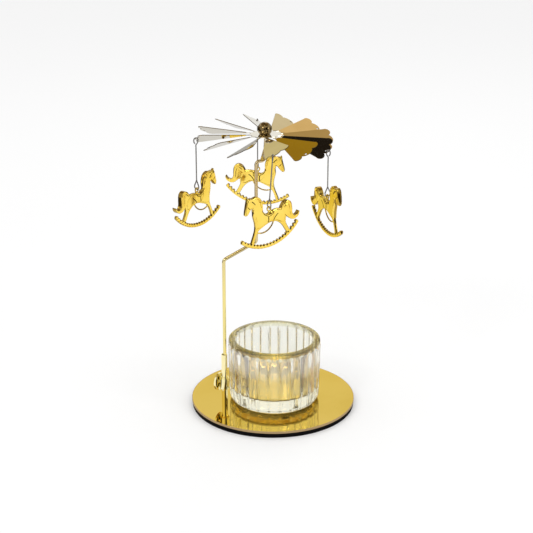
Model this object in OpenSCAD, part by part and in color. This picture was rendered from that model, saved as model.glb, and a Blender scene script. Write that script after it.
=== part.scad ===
// Candle-driven carousel: warm air from a tealight in a ribbed glass cup turns
// a bladed rotor on a needle, and rocking-horse pendants hang from its blades.
// Units are millimetres, +Z is up, and z = 0 is the underside of the foot pad.

/* [Base] */
// Diameter of the polished base plate
base_d = 100; // [92:1:130]
// Thickness of the base plate
plate_t = 1.3; // [0.8:0.1:3]
// Thickness of the soft pad under the plate
pad_t = 2.8; // [2:0.1:5]
// How far the pad's edge stays inside the plate's edge
pad_inset = 0.4; // [0:0.1:2]

/* [Glass cup] */
// Outer diameter of the cup at its rim
cup_d = 57; // [50:0.5:64]
// Height of the cup
cup_h = 39.3; // [30:0.1:50]
// Wall of the cup at its rim
cup_wall = 4.6; // [3:0.1:7]
// Thickness of the cup's solid base
cup_floor_t = 7.6; // [4:0.1:12]
// How much the cup's radius shrinks from rim to base
cup_taper = 1.1; // [0:0.1:2.5]
// Radius of the rounded foot of the cup
cup_foot_r = 3.4; // [1:0.1:6]
// Number of convex ribs round the cup
rib_count = 26; // [16:1:36]
// How far each rib stands out of the wall
rib_depth = 0.9; // [0.3:0.1:1.5]
// Cup's centre, to the right of the plate's centre
cup_x = 0.8; // [-2:0.1:3]
// Cup's centre, behind the plate's centre
cup_y = -1.5; // [-3:0.1:3]

/* [Post] */
// Bearing of the post seen from the cup's centre, anticlockwise from +X
post_bearing = 196.25; // [180:0.25:215]
// Gap between the cup's rim and the clamp collar
cup_post_gap = 0.3; // [0.3:0.1:4]
// Outer diameter of the tubular post
post_d = 3.6; // [3.2:0.1:5]
// Bore of the tubular post
post_bore_d = 2.8; // [2.4:0.1:3]
// Height of the post above the plate
post_h = 32; // [26:0.5:45]
// Length of the solid lower end of the post
post_plug_h = 8; // [6.5:0.5:9]
// Outer diameter of the clamp collar
collar_d = 5.6; // [5:0.1:8]
// Height of the clamp collar
collar_h = 8; // [5:0.1:12]
// Height of the collar's lower end above the plate
collar_lift = 9.4; // [8.5:0.1:12]

/* [Fasteners] */
// Diameter of the fixing screw and its thread in the post
screw_d = 2; // [1.6:0.1:2.2]
// Diameter of the fixing screw's head
screw_head_d = 4.2; // [3:0.1:6]
// Height of the fixing screw's head
screw_head_h = 1.1; // [0.8:0.1:1.5]
// Diameter of the washer under the plate
washer_d = 6; // [4.5:0.1:8]
// Thickness of the washer
washer_t = 0.4; // [0.3:0.1:0.6]
// Diameter of the thumb screw's domed head
knob_d = 10.8; // [8:0.1:13]
// Thickness of the thumb screw's head
knob_t = 2.6; // [1.5:0.1:4]
// Diameter of the thumb screw's shank
knob_shank_d = 2.2; // [1.6:0.1:3]
// Bearing of the thumb screw, anticlockwise from +X
knob_bearing = 150; // [120:1:180]
// Running clearance, on the radius, of a part that turns in another
run_gap = 0.05; // [0.02:0.01:0.1]

/* [Stem] */
// Diameter of the bent stem rod
stem_d = 2; // [1.6:0.1:2.2]
// Height above the plate of the stem's lower bend
bend_low_z = 92.8; // [80:0.1:100]
// Height above the plate of the end of the sloping stretch
bend_high_z = 101.3; // [88:0.1:110]
// How far the short crank under the needle lies below the rotor's sheet
crank_below = 15.6; // [12:0.1:22]
// Length of the crank that carries the needle to the rotor's axis
crank_len = 5.5; // [4.5:0.1:8]
// Radius of the stem's bends, at the middle of the rod
stem_bend_r = 2.2; // [1.5:0.1:2.2]
// Radius of the needle's point
needle_tip_r = 0.12; // [0.08:0.01:0.2]
// Rotor's axis, to the right of the plate's centre
axis_x = -5; // [-8:0.1:0]
// Rotor's axis, behind the plate's centre
axis_y = 0; // [-3:0.1:3]

/* [Rotor] */
// Height of the rotor's sheet above the plate
rotor_z = 166.2; // [160:0.1:172]
// Number of blades
blade_count = 12; // [12:12:12]
// Bearing of the first blade, anticlockwise from +X
blade_bearing = 98.3; // [80:0.1:110]
// Pitch of the blades
blade_pitch = 27; // [15:1:35]
// Angle by which every blade sags below the disc's plane
blade_sag = 2; // [0:0.5:6]
// Further sag of the blades on the side where the sheet is bent down
side_sag = 8; // [0:0.5:10]
// Bearing of that side, anticlockwise from +X
side_bearing = -10; // [-180:5:180]
// Thickness of the rotor's sheet
sheet_t = 0.4; // [0.3:0.05:0.6]
// Radius of the flat disc at the rotor's centre
disc_r = 8.2; // [6.5:0.1:9]
// Radius at which the twisted necks end and the blades begin
neck_end_r = 11.2; // [10:0.1:14]
// Width of the necks
neck_w = 1.8; // [1.2:0.1:2.4]
// Distance from the axis to the middle of a blade's scalloped edge
blade_tip_r = 40.6; // [36:0.1:46]
// Radius of the middle scallop
mid_lobe_r = 4.2; // [3.6:0.1:4.6]
// Radius of the two corner scallops
corner_lobe_r = 2.6; // [2:0.1:3]
// Distance of the corner scallops' centres from the blade's middle line
corner_half = 6.2; // [5.6:0.1:6.5]
// How far the corner scallops' tips stay inside the middle one's
corner_drop = 1.2; // [0.6:0.1:1.6]
// Radius of the hole for a hook in each blade
hook_hole_r = 0.7; // [0.6:0.05:0.8]
// Web of sheet between a hook's hole and the scalloped edge
hook_web = 0.8; // [0.6:0.05:0.9]
// How far the holes lie to the low side of the blade's middle line
hook_hole_shift = 1.5; // [0:0.1:2]

/* [Hub] */
// Diameter of the hub ball
ball_d = 8.4; // [7:0.1:10]
// How much of the ball is cut flat where it sits on the sheet
ball_flat = 1.2; // [0.1:0.05:2.5]
// Radius of the bearing cup's flange under the sheet
bearing_flange_r = 3; // [2.4:0.1:4]
// Thickness of the bearing cup's flange
bearing_flange_t = 1; // [0.8:0.1:1.6]
// Radius of the bearing cup's shank
bearing_shank_r = 1.6; // [1.5:0.1:2]
// Height of the bearing cup's shank above the sheet
bearing_shank_h = 3.2; // [2.8:0.1:4]
// Radius of the mouth of the conical seat for the needle
seat_mouth_r = 1.3; // [1:0.1:1.4]
// Height above the sheet's middle of the needle's point
point_rise = 1.9; // [1:0.1:2.2]

/* [Hook wires] */
// Diameter of the hook wire
wire_d = 0.75; // [0.6:0.05:0.85]
// Radius of the ring at the hook's top, at the middle of the wire
ring_r = 1.15; // [1.1:0.05:1.3]
// Drop from the ring's centre to the bottom of the lower loop
hook_drop = 29.7; // [26:0.1:36]
// How much shorter the right hook is, which hangs from a blade that sags
right_rise = 3.5; // [0:0.1:6]
// Angle by which the front hook leans to the left in its hole
front_lean = 4; // [0:0.5:5]
// Radius of the lower loop, at the middle of the wire
loop_r = 1.2; // [1.1:0.05:1.4]

/* [Horses] */
// Thickness of a horse's legs
horse_t = 1.6; // [1.2:0.1:2.2]
// Length of a horse from its nose to the end of its tail
horse_l = 36.4; // [35:0.1:38]
// Thickness of a horse's tail
tail_t = 3; // [1:0.1:3.4]
// How far the barrel, neck and head stand out on each side
relief_t = 0.5; // [0.2:0.05:0.8]
// Radius of the rocker's curve, at the middle of its strip
rocker_r = 28; // [25:0.5:32]
// Drop from the hanging eye to the bottom of the rocker's strip
rocker_drop = 22.4; // [22:0.1:23.5]
// Half of the rocker's length
rocker_half = 19.7; // [18:0.1:21]
// Width of the rocker's strip
rocker_w = 1.4; // [1:0.1:2]
// Diameter of the beads along the rocker
bead_d = 1.9; // [1.4:0.1:2.2]
// Spacing of the beads
bead_pitch = 2.3; // [2.2:0.05:3.2]
// Outer radius of the hanging eye
eye_r = 1.65; // [1.5:0.05:1.9]
// Radius of the hole in the hanging eye
eye_hole_r = 0.85; // [0.8:0.05:0.95]
// Thickness of the hanging eye
eye_t = 0.9; // [0.8:0.1:1.2]
// How far the hanging eye stands behind the dip of the back
eye_behind = 1.5; // [0:0.1:2.5]
// How far the body is lowered from the hanging eye, which stands on a short post
eye_above = 0.9; // [0:0.1:1.5]
// Angle by which the back horse hangs nose down
back_nose_down = 6.5; // [0:0.5:12]
// Angle by which the left horse hangs nose down
left_nose_down = 4; // [0:0.5:12]
// Angle by which the front horse hangs nose down
front_nose_down = 8.5; // [0:0.5:12]
// Angle by which the right horse hangs nose down
right_nose_down = 6.5; // [0:0.5:12]
// Direction in which the back horse faces, anticlockwise from +X
back_yaw = -13; // [-90:1:90]
// Direction in which the left horse faces
left_yaw = 52; // [-90:1:90]
// Direction in which the front horse faces
front_yaw = 216; // [150:1:270]
// Direction in which the right horse faces
right_yaw = -67; // [-90:1:0]

/* [Hidden] */

// Smoothness of large and small round surfaces
fine = 96;
small = 32;
wire_fn = 24;
// Overlap of cutters past the faces that they cut
over = 1;
// A bent rod's stretches stop short of each other inside a tiny weld sleeve
weld_gap = 0.02;
weld_rise = 0.015;
weld_len = 0.14;

// Heights of the plate's faces
plate_bottom = pad_t;
plate_top = pad_t + plate_t;

// Post's axis, just clear of the cup
post_reach = cup_d / 2 + cup_post_gap + collar_d / 2;
post_x = cup_x + post_reach * cos(post_bearing);
post_y = cup_y + post_reach * sin(post_bearing);
collar_z = plate_top + collar_lift;
knob_z = collar_z + collar_h / 2;
// The thumb screw presses the stem to the far side of the post's bore
press_gap = 0.03;
stem_shift = (post_bore_d - stem_d) / 2 - press_gap;
stem_x = post_x - stem_shift * cos(knob_bearing);
stem_y = post_y - stem_shift * sin(knob_bearing);
stem_bottom = plate_top + post_plug_h + run_gap;
// Thumb screw: its tip meets the stem, and its head stands off the collar
knob_tip = stem_d / 2 - stem_shift + run_gap;
knob_face = collar_d / 2 + 0.4;
// Fixing screw: how far it reaches into the post
screw_reach = 5.5;
screw_play = 0.1;

// Stem's plane, from the post's axis to the rotor's
stem_bearing = atan2(axis_y - stem_y, axis_x - stem_x);
stem_reach = norm([axis_x - stem_x, axis_y - stem_y]);
crank_z = rotor_z - crank_below;
sheet_z = plate_top + rotor_z;
point_z = sheet_z + point_rise;

// Necks: a little thinner and narrower than what they run into, so that both ends are buried
neck_t = sheet_t - 0.04;
neck_lap = 0.1;
root_w = neck_w + 0.2;

// Blade: scallop centres and the hole for a hook, from the rotor's axis
mid_lobe_x = blade_tip_r - mid_lobe_r;
corner_lobe_x = blade_tip_r - corner_drop - corner_lobe_r;
edge_at_hole = mid_lobe_x + sqrt(pow(mid_lobe_r, 2) - pow(hook_hole_shift, 2));
hole_x = edge_at_hole - hook_web - hook_hole_r;

// Hook: its ring's centre lies just under the web that it hangs on. The web's
// place is taken from the disc's rim, where the blade sags, and from its plane
web_out = edge_at_hole - hook_web / 2 - disc_r;
web_side = hook_hole_shift * cos(blade_pitch);
web_low = hook_hole_shift * sin(blade_pitch);
ring_drop = 0.3;
// The loop's wire carries the eye near the top of the eye's hole
eye_play = 0.07;
loop_wire_d = wire_d + 0.04;
eye_below_wire = eye_hole_r - loop_wire_d / 2 - eye_play;

right_drop = hook_drop - right_rise;

// Blades that carry a hook, counted anticlockwise from the first
BACK = 0;
LEFT = 3;
FRONT = 6;
RIGHT = 8;

function blade_angle(i) = blade_bearing + i * 360 / blade_count;
// The bent side's sag fades quickly to both sides
function sag(i) =
    blade_sag + side_sag * pow(max(0, cos(blade_angle(i) - side_bearing)), 4);
function hook_pos(i) =
    let (a = blade_angle(i), s = sag(i),
         reach = disc_r + web_out * cos(s) - web_low * sin(s))
    [axis_x + reach * cos(a) + web_side * sin(a),
     axis_y + reach * sin(a) - web_side * cos(a),
     sheet_z - web_out * sin(s) - web_low * cos(s) - ring_drop];
// Where a hook of this drop and lean carries the horse's eye, from its ring
function eye_pos(i, drop, lean) =
    let (a = blade_angle(i))
    hook_pos(i) + drop * [sin(lean) * sin(a), -sin(lean) * cos(a), -cos(lean)]
        - [0, 0, eye_below_wire];
function unit(v) = v / norm(v);

// A curve through every point of a closed outline
function curve_point(a, b, c, d, t) =
    0.5 * (2 * b + (c - a) * t + (2 * a - 5 * b + 4 * c - d) * t * t
           + (3 * b - a - 3 * c + d) * t * t * t);
function smooth_outline(p, steps) =
    let (n = len(p))
    [for (i = [0:n - 1], s = [0:steps - 1])
        curve_point(p[(i + n - 1) % n], p[i], p[(i + 1) % n], p[(i + 2) % n], s / steps)];

// A short sleeve just proud of a rod, in which two stretches of it end and merge
module weld(at, angle, d, sides) {
    translate([at.x, at.y, 0])
        rotate([0, 0, angle])
            rotate([0, 90, 0])
                cylinder(d = d + 2 * weld_rise, h = weld_len, center = true, $fn = sides);
}

// An arc of rod in the XY plane, from one bearing anticlockwise to another
module rod_arc(centre, r, from, turn, d, sides) {
    inset = weld_gap / r * 180 / PI;
    translate([centre.x, centre.y, 0])
        rotate([0, 0, from + inset])
            rotate_extrude(angle = turn - 2 * inset, $fn = fine)
                translate([r, 0])
                    circle(d = d, $fn = sides);
    for (a = [from, from + turn])
        weld(centre + r * [cos(a), sin(a)], a + 90, d, sides);
}

// A round rod or wire in the XY plane through the given corners, each inner
// corner rounded to the given radius. A rod that carries on from another
// piece starts a small gap inside that piece's weld
module bent_rod(corners, bend_r, d, sides, carries_on = false) {
    last = len(corners) - 1;
    dirs = [for (i = [0:last - 1]) unit(corners[i + 1] - corners[i])];
    turns = [for (i = [1:1:last - 1])
        atan2(dirs[i - 1].x * dirs[i].y - dirs[i - 1].y * dirs[i].x, dirs[i - 1] * dirs[i])];
    trims = concat([0], [for (t = turns) bend_r * tan(abs(t) / 2)], [0]);
    for (i = [0:last - 1]) {
        from = i > 0 || carries_on ? trims[i] + weld_gap : 0;
        to = norm(corners[i + 1] - corners[i]) - (i < last - 1 ? trims[i + 1] + weld_gap : 0);
        start = corners[i] + dirs[i] * from;
        translate([start.x, start.y, 0])
            rotate([0, 0, atan2(dirs[i].y, dirs[i].x)])
                rotate([0, 90, 0])
                    cylinder(d = d, h = to - from, $fn = sides);
    }
    for (i = [1:1:last - 1]) {
        left = turns[i - 1] > 0;
        start = corners[i] - dirs[i - 1] * trims[i];
        end = corners[i] + dirs[i] * trims[i];
        centre = start + (left ? 1 : -1) * bend_r * [-dirs[i - 1].y, dirs[i - 1].x];
        first = left ? start : end;
        rod_arc(centre, bend_r, atan2(first.y - centre.y, first.x - centre.x),
                abs(turns[i - 1]), d, sides);
    }
}

module base_plate() {
    color("gold")
        difference() {
            translate([0, 0, plate_bottom])
                cylinder(d = base_d, h = plate_t, $fn = 2 * fine);
            translate([post_x, post_y, plate_bottom - over])
                cylinder(r = screw_d / 2 + screw_play, h = plate_t + 2 * over, $fn = small);
        }
}

// The pad has a clear hole, so that the screw's head stays off the table
module base_pad() {
    hole_r = washer_d / 2 + 0.5;
    color("black")
        difference() {
            cylinder(d = base_d - 2 * pad_inset, h = pad_t, $fn = 2 * fine);
            translate([post_x, post_y, -over])
                cylinder(r = hole_r, h = pad_t + 2 * over, $fn = small);
        }
}

module fixing_screw() {
    slot_w = 0.5;
    slot_l = screw_head_d * 2 / 3;
    color("silver")
        translate([post_x, post_y, plate_bottom - washer_t])
            difference() {
                union() {
                    cylinder(d = screw_d, h = washer_t + plate_t + screw_reach, $fn = small);
                    translate([0, 0, -screw_head_h])
                        cylinder(d = screw_head_d, h = screw_head_h, $fn = small);
                }
                for (a = [0, 90])
                    rotate([0, 0, a])
                        translate([-slot_l / 2, -slot_w / 2, -screw_head_h - over])
                            cube([slot_l, slot_w, over + screw_head_h / 2]);
            }
}

module screw_washer() {
    color("silver")
        translate([post_x, post_y, plate_bottom - washer_t])
            difference() {
                cylinder(d = washer_d, h = washer_t, $fn = small);
                translate([0, 0, -over])
                    cylinder(r = screw_d / 2 + screw_play, h = washer_t + 2 * over, $fn = small);
            }
}

module post_tube() {
    color("gold")
        translate([post_x, post_y, plate_top])
            difference() {
                cylinder(d = post_d, h = post_h, $fn = small);
                translate([0, 0, post_plug_h])
                    cylinder(d = post_bore_d, h = post_h, $fn = small);
                translate([0, 0, -over])
                    cylinder(d = screw_d, h = screw_reach + over, $fn = small);
                translate([0, 0, knob_z - plate_top])
                    rotate([0, 90, knob_bearing])
                        cylinder(d = knob_shank_d + 2 * run_gap, h = post_d, $fn = small);
            }
}

// A ring shrunk onto the post, with a small step at its top and the thumb
// screw's threaded hole through one side
module clamp_collar() {
    step_h = 0.8;
    step_in = 0.5;
    bevel = 0.3;
    color("gold")
        translate([post_x, post_y, collar_z])
            difference() {
                rotate_extrude($fn = fine)
                    polygon([[post_d / 2, 0], [collar_d / 2 - bevel, 0], [collar_d / 2, bevel],
                             [collar_d / 2, collar_h - step_h],
                             [collar_d / 2 - step_in, collar_h - step_h],
                             [collar_d / 2 - step_in, collar_h], [post_d / 2, collar_h]]);
                translate([0, 0, collar_h / 2])
                    rotate([0, 90, knob_bearing])
                        cylinder(d = knob_shank_d + 2 * run_gap, h = collar_d, $fn = small);
            }
}

module thumb_screw() {
    dome_h = knob_t * 0.55;
    rim_h = knob_t - dome_h;
    dome_r = (pow(knob_d / 2, 2) + pow(dome_h, 2)) / (2 * dome_h);
    neck_r = knob_shank_d / 2 + 0.7;
    neck_h = 0.3;
    color("gold")
        translate([post_x, post_y, knob_z])
            rotate([0, 90, knob_bearing]) {
                translate([0, 0, knob_tip])
                    cylinder(d = knob_shank_d, h = knob_face - knob_tip + rim_h / 2, $fn = small);
                translate([0, 0, knob_face - neck_h])
                    cylinder(r = neck_r, h = neck_h, $fn = small);
                translate([0, 0, knob_face])
                    cylinder(d = knob_d, h = rim_h, $fn = fine);
                translate([0, 0, knob_face + rim_h])
                    intersection() {
                        cylinder(d = knob_d, h = dome_h, $fn = fine);
                        translate([0, 0, dome_h - dome_r])
                            sphere(r = dome_r, $fn = fine);
                    }
            }
}

// One rod, bent twice, cranked onto the rotor's axis and ground to a point
module stem_rod() {
    slope_end = stem_reach - crank_len;
    straight = 0.2;
    turn_up = crank_z + stem_bend_r + straight;
    color("goldenrod")
        translate([stem_x, stem_y, 0])
            rotate([0, 0, stem_bearing]) {
                rotate([90, 0, 0])
                    bent_rod([[0, stem_bottom], [0, plate_top + bend_low_z],
                              [slope_end, plate_top + bend_high_z],
                              [slope_end, plate_top + crank_z],
                              [stem_reach, plate_top + crank_z],
                              [stem_reach, plate_top + turn_up]],
                             stem_bend_r, stem_d, small);
                translate([stem_reach, 0, plate_top + turn_up])
                    cylinder(r1 = stem_d / 2, r2 = needle_tip_r,
                             h = point_z - plate_top - turn_up, $fn = small);
            }
}

module blade_outline() {
    side = corner_half + corner_lobe_r;
    difference() {
        union() {
            polygon([[neck_end_r, -root_w / 2], [corner_lobe_x, -side],
                     [corner_lobe_x, side], [neck_end_r, root_w / 2]]);
            translate([mid_lobe_x, 0])
                circle(r = mid_lobe_r, $fn = fine);
            for (s = [-1, 1])
                translate([corner_lobe_x, s * corner_half])
                    circle(r = corner_lobe_r, $fn = fine);
        }
        translate([hole_x, -hook_hole_shift])
            circle(r = hook_hole_r, $fn = small);
    }
}

// A flat blade turned to its pitch, and the neck that twists up to it, both
// tilted down about the disc's rim
module blade(i) {
    neck_l = neck_end_r - disc_r + 2 * neck_lap;
    translate([disc_r, 0, 0])
        rotate([0, sag(i), 0]) {
            translate([-disc_r, 0, 0])
                rotate([blade_pitch, 0, 0])
                    translate([0, 0, -sheet_t / 2])
                        linear_extrude(height = sheet_t)
                            blade_outline();
            translate([-neck_lap, 0, 0])
                rotate([0, 90, 0])
                    linear_extrude(height = neck_l, twist = -blade_pitch, slices = 6)
                        square([neck_t, neck_w], center = true);
        }
}

module rotor_blades() {
    color("khaki")
        translate([axis_x, axis_y, sheet_z]) {
            translate([0, 0, -sheet_t / 2])
                difference() {
                    cylinder(r = disc_r, h = sheet_t, $fn = fine);
                    translate([0, 0, -over])
                        cylinder(r = bearing_shank_r, h = sheet_t + 2 * over, $fn = small);
                }
            for (i = [0:blade_count - 1])
                rotate([0, 0, blade_angle(i)])
                    blade(i);
        }
}

module hub_ball() {
    ball_r = ball_d / 2;
    color("gold")
        translate([axis_x, axis_y, sheet_z + sheet_t / 2])
            difference() {
                intersection() {
                    translate([0, 0, ball_r - ball_flat])
                        sphere(r = ball_r, $fn = fine);
                    cylinder(r = ball_d, h = ball_d, $fn = small);
                }
                translate([0, 0, -over])
                    cylinder(r = bearing_shank_r, h = bearing_shank_h + over, $fn = small);
            }
}

// A flanged bush pressed through the sheet into the ball, with a cone that
// sits on the needle's point
module bearing_cup() {
    flange_z = -sheet_t / 2 - bearing_flange_t;
    seat_top = point_rise + run_gap;
    color("silver")
        translate([axis_x, axis_y, sheet_z])
            rotate_extrude($fn = fine)
                polygon([[seat_mouth_r, flange_z], [bearing_flange_r, flange_z],
                         [bearing_flange_r, -sheet_t / 2], [bearing_shank_r, -sheet_t / 2],
                         [bearing_shank_r, sheet_t / 2 + bearing_shank_h],
                         [0, sheet_t / 2 + bearing_shank_h], [0, seat_top],
                         [needle_tip_r + run_gap, seat_top]]);
}

// A wire hook: an open ring over the blade's edge, in the plane of the
// blade's radius, a straight drop and a closed loop across the horse's eye.
// The drop's end is buried in the loop's wire
module hook_wire(i, yaw, drop, lean = 0) {
    loop_y = loop_r - drop;
    bend_r = 0.87 * ring_r;
    leg = [ring_r, -ring_r];
    tip = [ring_r / 2, -2 * ring_r];
    throat = [0, -2.6 * ring_r];
    color("silver")
        translate(hook_pos(i))
            rotate([90, 0, blade_angle(i)])
                rotate([-lean, 0, 0]) {
                    rod_arc([0, 0], ring_r, 0, 180, wire_d, wire_fn);
                    bent_rod([[ring_r, 0], leg, tip], bend_r, wire_d, wire_fn, true);
                    bent_rod([[-ring_r, 0], [-leg.x, leg.y], throat, [0, loop_y + loop_r]],
                             bend_r, wire_d, wire_fn, true);
                    translate([0, loop_y])
                        rotate([0, yaw + 90 - blade_angle(i), 0])
                            rotate_extrude($fn = fine)
                                translate([loop_r, 0])
                                    circle(d = loop_wire_d, $fn = wire_fn);
                }
}

// Outlines of a horse that faces +X, drawn 36.4 long about the dip of its back
drawn_l = 36.4;
figure = horse_l / drawn_l;
head_neck = [[12.3, 12], [13.2, 9], [14.4, 5.9], [15.4, 2.8], [14.4, 1.8], [12.4, 3], [10.2, 5],
             [9.6, 2.8]];
chest_leg = [[10.1, 0], [9.6, -3.8], [9.7, -7.4], [10.9, -10.4], [12.6, -13.4], [14.4, -17.2],
             [12.6, -17.6], [11, -14], [9.6, -11.6], [7.6, -9.4]];
belly_leg = [[4, -8.1], [0, -7.1], [-4, -7.4], [-7.4, -9.8], [-9.4, -12.8], [-11.4, -16.9],
             [-13.6, -16.8], [-12.3, -13.4], [-11.3, -10]];
rump_back = [[-12.2, -6], [-11.4, -2.8], [-9.3, -1.2], [-6.8, -0.5], [-4, -0.4], [-2, -0.9],
             [0, -1.3], [1.6, -1.1], [2.8, 0.2]];
crest = [[3, 1.8], [3.3, 4.3], [3.9, 6.9], [5, 9.4], [6.5, 11], [8.3, 10.7], [10.6, 10]];
tail = [[-9, -1.6], [-10.4, 0.6], [-11.8, 1.8], [-13.9, 2.2], [-15.7, 1.1], [-16.4, -1.3],
        [-16.2, -4.2], [-16.1, -6.8], [-17, -8.1], [-18.5, -8.3], [-19.8, -7.7], [-21, -6.3],
        [-20.6, -8.3], [-19.2, -9.7], [-17, -10.3], [-14.8, -9.7], [-13, -8], [-11.4, -6],
        [-10.4, -3.4]];
// The raised forms: neck, barrel and hind quarter in one, the head, the saddle
barrel = [[11.7, 9.8], [12.6, 7], [14.4, 2.8], [12.6, 4], [10.2, 6], [8.9, 3.2], [9.4, 0],
          [8.8, -3.8], [8.4, -7.2], [6.2, -7.6], [3.2, -6.9], [-0.4, -6.4], [-5, -6.8],
          [-8, -8.8], [-10.2, -9], [-10.8, -5.6], [-9.6, -2.4], [-6.6, -1.2], [-3.2, -1.3],
          [0, -2], [2.4, -1.4], [3.8, 1.4], [4.2, 4.4], [5, 7.6], [6.8, 10], [9.2, 9.8]];
head = [[11.2, 10.8], [12.4, 9], [13.6, 6], [14.6, 3], [13.6, 2.4], [11.4, 4.8], [9.4, 5.8],
        [7.6, 5.6], [6.2, 7.4], [6.9, 9.7], [8.8, 10.4]];
saddle = [[-3.6, -1], [-1.6, -1.7], [0.4, -1.9], [2.6, -0.6], [2.8, -2.6], [2, -4.6],
          [0.6, -5.8], [-1.2, -5.6], [-2.8, -4.2]];

module plate_of(outline, thickness) {
    placed = [for (p = outline) figure * p + [eye_behind, -eye_above]];
    translate([0, 0, -thickness / 2])
        linear_extrude(height = thickness)
            polygon(smooth_outline(placed, 3));
}

// Part of a flat ring that hangs below its centre, as far each way as given
module ring_sector(inner, outer, half_angle) {
    reach = 2 * outer;
    intersection() {
        difference() {
            circle(r = outer, $fn = 2 * fine);
            circle(r = inner, $fn = 2 * fine);
        }
        polygon([[0, 0], [-reach * sin(half_angle), -reach * cos(half_angle)],
                 [0, -reach * 1.5], [reach * sin(half_angle), -reach * cos(half_angle)]]);
    }
}

// Rocker: a curved strip with a row of thicker beads along its upper edge
module rocker() {
    centre_y = rocker_r + rocker_w / 2 - rocker_drop;
    half_angle = asin(rocker_half / rocker_r);
    bead_row_r = rocker_r - rocker_w / 2;
    bead_angle = bead_pitch / bead_row_r * 180 / PI;
    beads = floor(2 * half_angle / bead_angle);
    strip_t = horse_t * 0.8;
    translate([eye_behind, centre_y, -strip_t / 2])
        linear_extrude(height = strip_t)
            ring_sector(rocker_r - rocker_w / 2, rocker_r + rocker_w / 2, half_angle);
    for (i = [0:beads])
        rotate_about([eye_behind, centre_y], (i - beads / 2) * bead_angle)
            translate([0, -bead_row_r, -bead_d / 2])
                cylinder(d = bead_d, h = bead_d, $fn = wire_fn);
}

module rotate_about(centre, angle) {
    translate([centre.x, centre.y, 0])
        rotate([0, 0, angle])
            children();
}

// The stirrup's arc under the belly, from the barrel to the fore leg
module stirrup() {
    arc_r = 8.2 * figure;
    strip = 0.8;
    rotate_about(figure * [4, -3.6] + [eye_behind, -eye_above], -14)
        translate([0, 0, -strip / 2])
            linear_extrude(height = strip)
                ring_sector(arc_r - strip / 2, arc_r + strip / 2, 56);
}

// The hanging eye: a ring with bevelled edges, on which the loop can roll, and its post
module hanging_eye() {
    post_t = eye_t - 0.1;
    post_foot = -eye_above - 2;
    post_head = -eye_r + 0.35;
    translate([0, 0, -post_t / 2])
        linear_extrude(height = post_t)
            polygon([[-1.2, post_foot], [1.2, post_foot], [0.7, post_head], [-0.7, post_head]]);
    bevel = 0.25;
    half_t = eye_t / 2;
    flat = half_t - bevel;
    rotate_extrude($fn = fine)
        polygon([[eye_hole_r, -flat], [eye_hole_r + bevel, -half_t], [eye_r - bevel, -half_t],
                 [eye_r, -flat], [eye_r, flat], [eye_r - bevel, half_t],
                 [eye_hole_r + bevel, half_t], [eye_hole_r, flat]]);
}

// A cast rocking horse in the XY plane, with its hanging eye at the origin
module horse_figure() {
    plate_of(concat(head_neck, chest_leg, belly_leg, rump_back, crest), horse_t);
    plate_of(tail, tail_t);
    plate_of(barrel, horse_t + 2 * relief_t);
    plate_of(head, horse_t + 2.4 * relief_t);
    plate_of(saddle, horse_t + 3 * relief_t);
    rocker();
    stirrup();
    hanging_eye();
}

module horse(i, yaw, nose_down, drop, lean = 0) {
    color("gold")
        translate(eye_pos(i, drop, lean))
            rotate([90, 0, yaw])
                rotate([0, 0, -nose_down])
                    horse_figure();
}

// A ribbed tumbler with a rounded foot and a thick base. The ribs run the
// whole height and are cut by the foot's curve
module glass_cup() {
    rim_r = cup_d / 2;
    low_r = rim_r - cup_taper;
    rib_pitch_r = rim_r - rib_depth;
    rib_lap = 1.06;
    rib_r = rib_pitch_r * sin(180 / rib_count) * rib_lap;
    rib_centre = rim_r - rib_r;
    core_r = rib_centre + rib_r * 0.35;
    rim_round = 0.8;
    bore_top_r = rim_r - cup_wall;
    bore_low_r = bore_top_r - cup_taper;
    bore_h = cup_h - cup_floor_t;
    bore_slope = (bore_top_r - bore_low_r) / bore_h;
    color("white", 0.4)
        translate([cup_x, cup_y, plate_top])
            difference() {
                intersection() {
                    translate([0, 0, -over])
                        union() {
                            cylinder(r = core_r, h = cup_h + 2 * over, $fn = fine);
                            for (i = [0:rib_count - 1])
                                rotate([0, 0, (i + 0.5) * 360 / rib_count])
                                    translate([rib_centre, 0, 0])
                                        cylinder(r = rib_r, h = cup_h + 2 * over, $fn = small);
                        }
                    rotate_extrude($fn = 2 * fine) {
                        polygon([[0, 0], [low_r - cup_foot_r, 0],
                                 [low_r - cup_foot_r * 0.4, cup_foot_r * 0.3],
                                 [low_r, cup_foot_r], [rim_r, cup_h - rim_round],
                                 [rim_r - rim_round * 0.4, cup_h - rim_round * 0.3],
                                 [rim_r - rim_round, cup_h], [0, cup_h]]);
                    }
                }
                translate([0, 0, cup_floor_t])
                    cylinder(r1 = bore_low_r, r2 = bore_top_r + over * bore_slope,
                             h = bore_h + over, $fn = 2 * fine);
            }
}

base_plate();
base_pad();
fixing_screw();
screw_washer();
post_tube();
clamp_collar();
thumb_screw();
stem_rod();
rotor_blades();
hub_ball();
bearing_cup();
hook_wire(BACK, back_yaw, hook_drop);  // hook_wire_back
hook_wire(LEFT, left_yaw, hook_drop);  // hook_wire_left
hook_wire(FRONT, front_yaw, hook_drop, front_lean);  // hook_wire_front
hook_wire(RIGHT, right_yaw, right_drop);  // hook_wire_right
horse(BACK, back_yaw, back_nose_down, hook_drop);  // horse_back
horse(LEFT, left_yaw, left_nose_down, hook_drop);  // horse_left
horse(FRONT, front_yaw, front_nose_down, hook_drop, front_lean);  // horse_front
horse(RIGHT, right_yaw, right_nose_down, right_drop);  // horse_right
glass_cup();
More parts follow.
